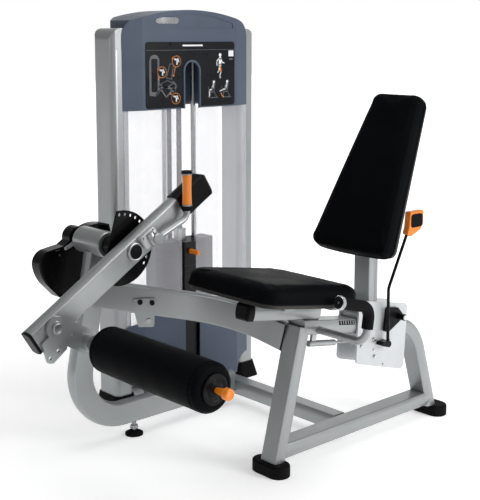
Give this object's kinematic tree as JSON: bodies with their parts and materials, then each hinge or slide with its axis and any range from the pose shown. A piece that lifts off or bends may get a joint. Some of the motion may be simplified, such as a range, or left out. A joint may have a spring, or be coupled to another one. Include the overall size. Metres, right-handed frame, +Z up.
{
  "type": "leg extension machine",
  "caption": "Seated leg extension machine: pivoting shin-roller arm with a cam, sliding reclined backrest, and a tall shielded pin-select weight tower.",
  "frame": {"origin": "on the floor, under the middle of the machine's bounding box", "axes": "+X from the shin roller towards the backrest, along the tower's width; +Y from the user towards the tower; +Z up"},
  "size_m": [1.823, 1.491, 1.775],
  "materials": {
    "frame_paint": "satin silver powder coat",
    "carriage_silver": "satin light silver paint",
    "hood_plastic": "fine-textured blue-grey moulding",
    "black_plastic": "fine-textured black moulding",
    "gloss_black": "gloss black enamel",
    "placard_black": "printed satin panel",
    "shield_clear": "clear sheet, slightly frosted",
    "stack_black": "black enamel",
    "chrome": "polished",
    "steel": "brushed",
    "black_vinyl": "grained upholstery vinyl",
    "rubber_black": "matt",
    "orange_plastic": "moulded, semi-gloss",
    "belt_black": "flat transmission belt",
    "board_black": "painted plywood"
  },
  "bodies": {
    "root": {"tower_uprights": "frame_paint", "upright_caps": "frame_paint", "tower_feet": "rubber_black", "tower_crossmembers": "frame_paint", "front_hood": "hood_plastic", "rear_hood": "hood_plastic", "slot_bezel": "hood_plastic", "instruction_placard": "placard_black", "front_shields": "shield_clear", "rear_shield": "shield_clear", "lower_shrouds": "hood_plastic", "guide_rods": "chrome", "lower_weight_plates": "stack_black", "lift_belt": "belt_black", "return_belt": "belt_black", "base_tube": "frame_paint", "front_loop_tube": "frame_paint", "seat_beam": "frame_paint", "floor_cross_tube": "frame_paint", "front_leg": "frame_paint", "seat_rail": "frame_paint", "floor_feet": "rubber_black", "bearing_housing": "frame_paint", "stop_bracket": "frame_paint", "stop_bolts": "steel", "seat_support": "frame_paint", "seat_support_cap": "black_plastic", "seat_board": "board_black", "seat_pad": "black_vinyl", "side_handles": "frame_paint", "handle_grips": "rubber_black", "rail_scale": "placard_black", "gas_spring_cylinder": "steel"},
    "cam": {"main_cam": "gloss_black", "pivot_shaft": "steel", "start_position_plate": "gloss_black"},
    "arm": {"arm_tube": "frame_paint", "arm_end_cap": "black_plastic", "counterweight_sleeve": "black_plastic", "pivot_cap": "black_plastic"},
    "start_pin_lever": {"start_lever": "frame_paint", "start_lever_grip": "orange_plastic"},
    "roller_carrier": {"roller_link": "frame_paint", "roller_axle": "steel"},
    "shin_roller": {"roller_pad": "black_vinyl", "roller_sleeve": "black_plastic"},
    "roller_lock": {"roller_knob": "orange_plastic"},
    "moving_weights": {"lifted_weight_plates": "stack_black", "selector_stem": "steel"},
    "weight_pin": {"selector_pin": "orange_plastic"},
    "belt_pulley": {"top_pulley": "black_plastic"},
    "backrest": {"carriage_plates": "carriage_silver", "back_post": "frame_paint", "back_board": "board_black", "back_pad": "black_vinyl", "latch_block": "black_plastic", "gas_spring_rod": "steel"},
    "backrest_lever": {"release_lever": "gloss_black", "release_paddle": "orange_plastic"},
    "leveller": {"levelling_foot": "rubber_black"}
  },
  "joints": [
    {"name": "knee_extension", "type": "hinge", "parent": "root", "child": "cam", "pos_m": [-0.43955, 0.1385, 0.845], "axis": [0, 1, 0], "range_deg": [0, 50]},
    {"name": "start_position", "type": "hinge", "parent": "cam", "child": "arm", "pos_m": [-0.43955, 0.1385, 0.845], "axis": [0, 1, 0], "range_deg": [-30, 0]},
    {"name": "start_lever_pull", "type": "hinge", "parent": "arm", "child": "start_pin_lever", "pos_m": [-0.35941, 0.0175, 0.89036], "axis": [0, 1, 0], "range_deg": [0, 12], "stiffness_Nm_per_rad": 12, "springref_deg": -8.59},
    {"name": "shin_link", "type": "hinge", "parent": "arm", "child": "roller_carrier", "pos_m": [-0.79855, 0.0835, 0.616], "axis": [0, 1, 0], "range_deg": [-20, 20]},
    {"name": "roller_spin", "type": "hinge", "parent": "roller_carrier", "child": "shin_roller", "pos_m": [-0.66655, -0.3395, 0.54], "axis": [0, 1, 0], "continuous": true},
    {"name": "roller_knob_pull", "type": "slide", "parent": "roller_carrier", "child": "roller_lock", "axis": [0, -1, 0], "range_m": [0, 0.012], "stiffness_N_per_m": 600, "springref_m": -0.01},
    {"name": "stack_lift", "type": "slide", "parent": "root", "child": "moving_weights", "axis": [0, 0, 1], "range_m": [0, 0.2], "deforming": ["lift_belt"]},
    {"name": "weight_pin_pull", "type": "slide", "parent": "moving_weights", "child": "weight_pin", "axis": [0, -1, 0], "range_m": [0, 0.06]},
    {"name": "pulley_spin", "type": "hinge", "parent": "root", "child": "belt_pulley", "pos_m": [0.23595, 0.6504, 1.5], "axis": [-1, 0, 0], "range_deg": [-5, 330]},
    {"name": "backrest_slide", "type": "slide", "parent": "root", "child": "backrest", "axis": [0.9866, 0, -0.1633], "range_m": [-0.08, 0.02]},
    {"name": "backrest_lever_pull", "type": "hinge", "parent": "backrest", "child": "backrest_lever", "pos_m": [0.47345, -0.4415, 0.408], "axis": [0, 1, 0], "range_deg": [-12, 0], "stiffness_Nm_per_rad": 12, "springref_deg": 8.59},
    {"name": "leveller_turn", "type": "hinge", "parent": "root", "child": "leveller", "pos_m": [-0.26655, 0.3075, 0.03], "axis": [0, 0, 1], "range_deg": [-180, 180]}
  ],
  "couplings": [
    {"joint": "stack_lift", "follows": "knee_extension", "m_per_rad": 0.22},
    {"joint": "pulley_spin", "follows": "knee_extension", "ratio": 6.2857}
  ]
}
